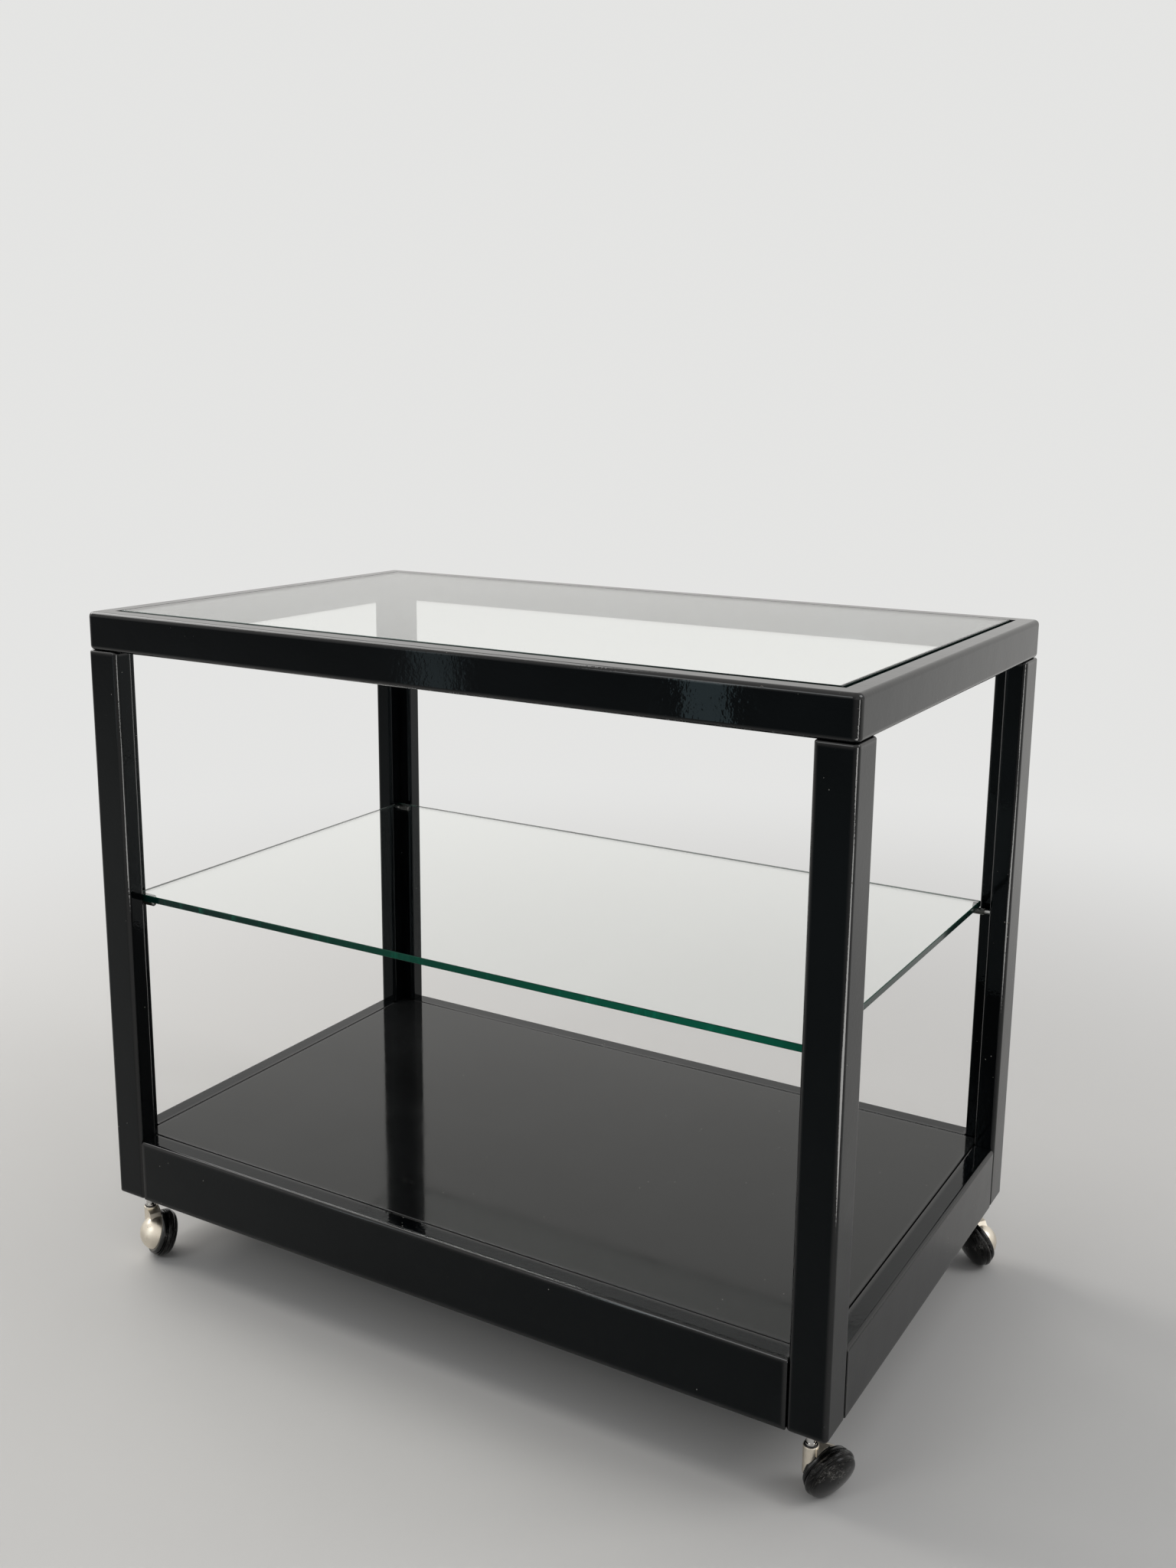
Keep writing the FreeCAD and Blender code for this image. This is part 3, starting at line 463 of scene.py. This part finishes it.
def wheel(name, centre, axle, worn_band, colour, ridges):
    """A wheel's moulding or tyre: a band worn grey by the floor, pale scuffs in patches that also
    serve as a painted mottled highlight, and scratches and fine ridges that run round its axle."""
    material, graph = new_material(name)
    place = graph.moved(graph.place(), -centre)
    along = graph.along(place, axle)
    grit = graph.noise(place, scale=800.0, detail=6.0, rough=0.8)
    streak = graph.noise(graph.drawn(place, axle, STREAK_STRETCH), scale=160.0, detail=5.0,
                         rough=0.7)
    start, end = worn_band
    band = graph.times(graph.ramp(along, *[start + margin for margin in BAND_RISE]),
                       graph.fall(along, *[end + margin for margin in BAND_FALL]))
    worn = graph.times(band, graph.ramp(streak, 0.46, 0.72), graph.ramp(grit, 0.30, 0.70),
                       WORN_SHARE)
    # Pale scuffs in patches, partly real scuffs and partly a painted mottled highlight.
    scuffs = graph.times(graph.patches(place, scale=48.0, within=(0.50, 0.64), detail=3.0,
                                       rough=0.6),
                         graph.ramp(streak, 0.40, 0.62), graph.ramp(grit, 0.44, 0.60), SCUFF_AND_HIGHLIGHT_SHARE)
    wear_and_painted_highlight = graph.math("MAXIMUM", worn, scuffs)
    tint = graph.mix(graph.ramp(streak, 0.35, 0.7), (*colour, 1), shade(colour, 1.5))
    # The worn band and the scuffs, with their painted highlight, lighten the black.
    tint = graph.mix(wear_and_painted_highlight, tint, WHEEL_DUST_AND_HIGHLIGHT)
    rough = graph.plus(graph.ramp(streak, 0.3, 0.7, *WHEEL_HAZE), graph.times(wear_and_painted_highlight, 0.40))
    rings = graph.math("SINE", graph.times(along, ridges))
    height = graph.plus(graph.times(rings, 0.4), graph.times(grit, 0.6), graph.times(streak, 1.6))
    graph.surface(Base_Color=tint, Roughness=rough, Specular_Tint=WHEEL_GLINT,
                  Normal=graph.bump(height, WHEEL_BUMP))
    return material


def wheel_at(node):
    """The centre and axle of the wheel at a castor piece's own corner, its last two letters."""
    roll = next(joint for joint in frame["joints"] if joint["child"] == "wheel_" + node[-2:])
    return Vector(roll["pos_m"]), Vector(roll["axis"]).normalized()


def finish_of(node):
    """The finish of a CAD node, made for that node where it follows the node's own shape."""
    name = "finish_" + node
    low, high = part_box(node)
    if node.startswith("base_panel"):
        return lacquer(name, low, high, PANEL_BLACK, PANEL_GLINT, PANEL_HAZE, PANEL_PEEL,
                       PANEL_DUST, PANEL_NICKS)
    if node.startswith(("top_rail", "post", "base_rail")):
        return lacquer(name, low, high, BLACK, BLACK_GLINT, BLACK_HAZE, BLACK_PEEL, BLACK_DUST,
                       BLACK_NICKS)
    if node == "top_glass":
        return pane(name, low, high, TOP_GREEN_PAINTED_SHADE, TOP_GREEN_PAINTED_SHADE)
    if node == "shelf_glass":
        return pane(name, low, high, SHELF_GREEN_LEFT_PAINTED_SHADE, SHELF_GREEN_RIGHT)
    if node.startswith("castor_hood"):
        return hood(name, *wheel_at(node))
    if node.startswith("wheel_dome"):
        return wheel(name, *wheel_at(node), DOME_BAND, WHEEL_BLACK, DOME_RIDGES)
    if node.startswith("wheel_tyre"):
        return wheel(name, *wheel_at(node), TYRE_BAND, TYRE_BLACK, TYRE_RIDGES)
    return shared[node.rsplit("_", 1)[0]]


# Finishes that a piece has in common with its like at the other corners or sides. Each has a name,
# a colour, a range of roughness and, where it isn't metal, a strength of its scuffs.
shared = {
    "panel_cleat": plastic("stained_wood", (0.05, 0.035, 0.024), (0.5, 0.7), 0.3),
    "shelf_pin": metal("steel", (0.52, 0.52, 0.51), (0.22, 0.4)),
    # The sleeves are coloured near black.
    "shelf_sleeve": plastic("dark_sleeve", (0.022, 0.023, 0.020), (0.08, 0.18), 0.0),
    "castor_socket": plastic("black_plastic", (0.012, 0.012, 0.013), (0.35, 0.5), 0.3),
    "castor_bush": plastic("black_bush", (0.010, 0.010, 0.011), (0.3, 0.45), 0.2),
    "castor_stem": metal("bright_plating", (0.70, 0.69, 0.67), (0.06, 0.16)),
    "castor_axle": metal("axle_steel", (0.55, 0.55, 0.54), (0.2, 0.35)),
}


def direct(graph, path):
    """1 for the camera's own rays and for those that come through glass."""
    return graph.math("MAXIMUM", path.outputs["Is Camera Ray"], path.outputs["Is Transmission Ray"])


def make_floor():
    """A wide pale floor that fades into the backdrop's colour away from the object."""
    half = FLOOR_HALF
    mesh = bpy.data.meshes.new("floor")
    mesh.from_pydata([(-half, -half, 0), (half, -half, 0), (half, half, 0), (-half, half, 0)], [],
                     [(0, 1, 2, 3)])
    floor = bpy.data.objects.new("floor", mesh)
    scene.collection.objects.link(floor)
    material, graph = new_material("floor")
    diffuse = graph.node("BsdfDiffuse")
    diffuse.inputs["Color"].default_value = FLOOR
    path = graph.node("LightPath")
    glossy = path.outputs["Is Glossy Ray"]
    glow = graph.node("Emission")
    graph.feed(glow.inputs["Color"], graph.mix(glossy, BACKDROP, MIRRORED))
    far = graph.ramp(graph.length(graph.place()), *FADE)
    behind = graph.ramp(graph.along(graph.place(), (0, 1, 0)), *MIRRORED_FADE)
    seen = graph.math("MAXIMUM", direct(graph, path), graph.times(glossy, behind))
    blend = graph.node("MixShader")
    graph.feed(blend.inputs[0], graph.times(far, seen))
    graph.feed(blend.inputs[1], diffuse.outputs["BSDF"])
    graph.feed(blend.inputs[2], glow.outputs["Emission"])
    graph.output(blend.outputs["Shader"])
    mesh.materials.append(material)


def make_lamp(name, place, target, width, height, power, colour, through_glass):
    data = bpy.data.lights.new(name, "AREA")
    data.shape = "RECTANGLE"
    data.size = width
    data.size_y = height
    data.energy = power
    data.color = colour
    lamp = bpy.data.objects.new(name, data)
    lamp.location = place
    lamp.rotation_euler = (Vector(target) - Vector(place)).to_track_quat("-Z", "Y").to_euler()
    lamp.visible_transmission = through_glass
    scene.collection.objects.link(lamp)


def make_world():
    """An even sky that the camera and glass see as the backdrop, and mirrors a little brighter."""
    world = bpy.data.worlds.new("studio")
    scene.world = world
    world.use_nodes = True
    graph = Graph(world.node_tree)
    path = graph.node("LightPath")
    colour = graph.mix(direct(graph, path), SKY_LIGHT, BACKDROP)
    back = graph.node("Background")
    graph.feed(back.inputs["Color"], graph.mix(path.outputs["Is Glossy Ray"], colour, MIRRORED))
    graph.output(back.outputs["Background"], "OutputWorld")


make_camera()
for node, cad_object in nodes.items():
    cad_object.data.materials.clear()
    cad_object.data.materials.append(finish_of(node))
make_floor()
make_world()
for lamp in LAMPS:
    make_lamp(*lamp)
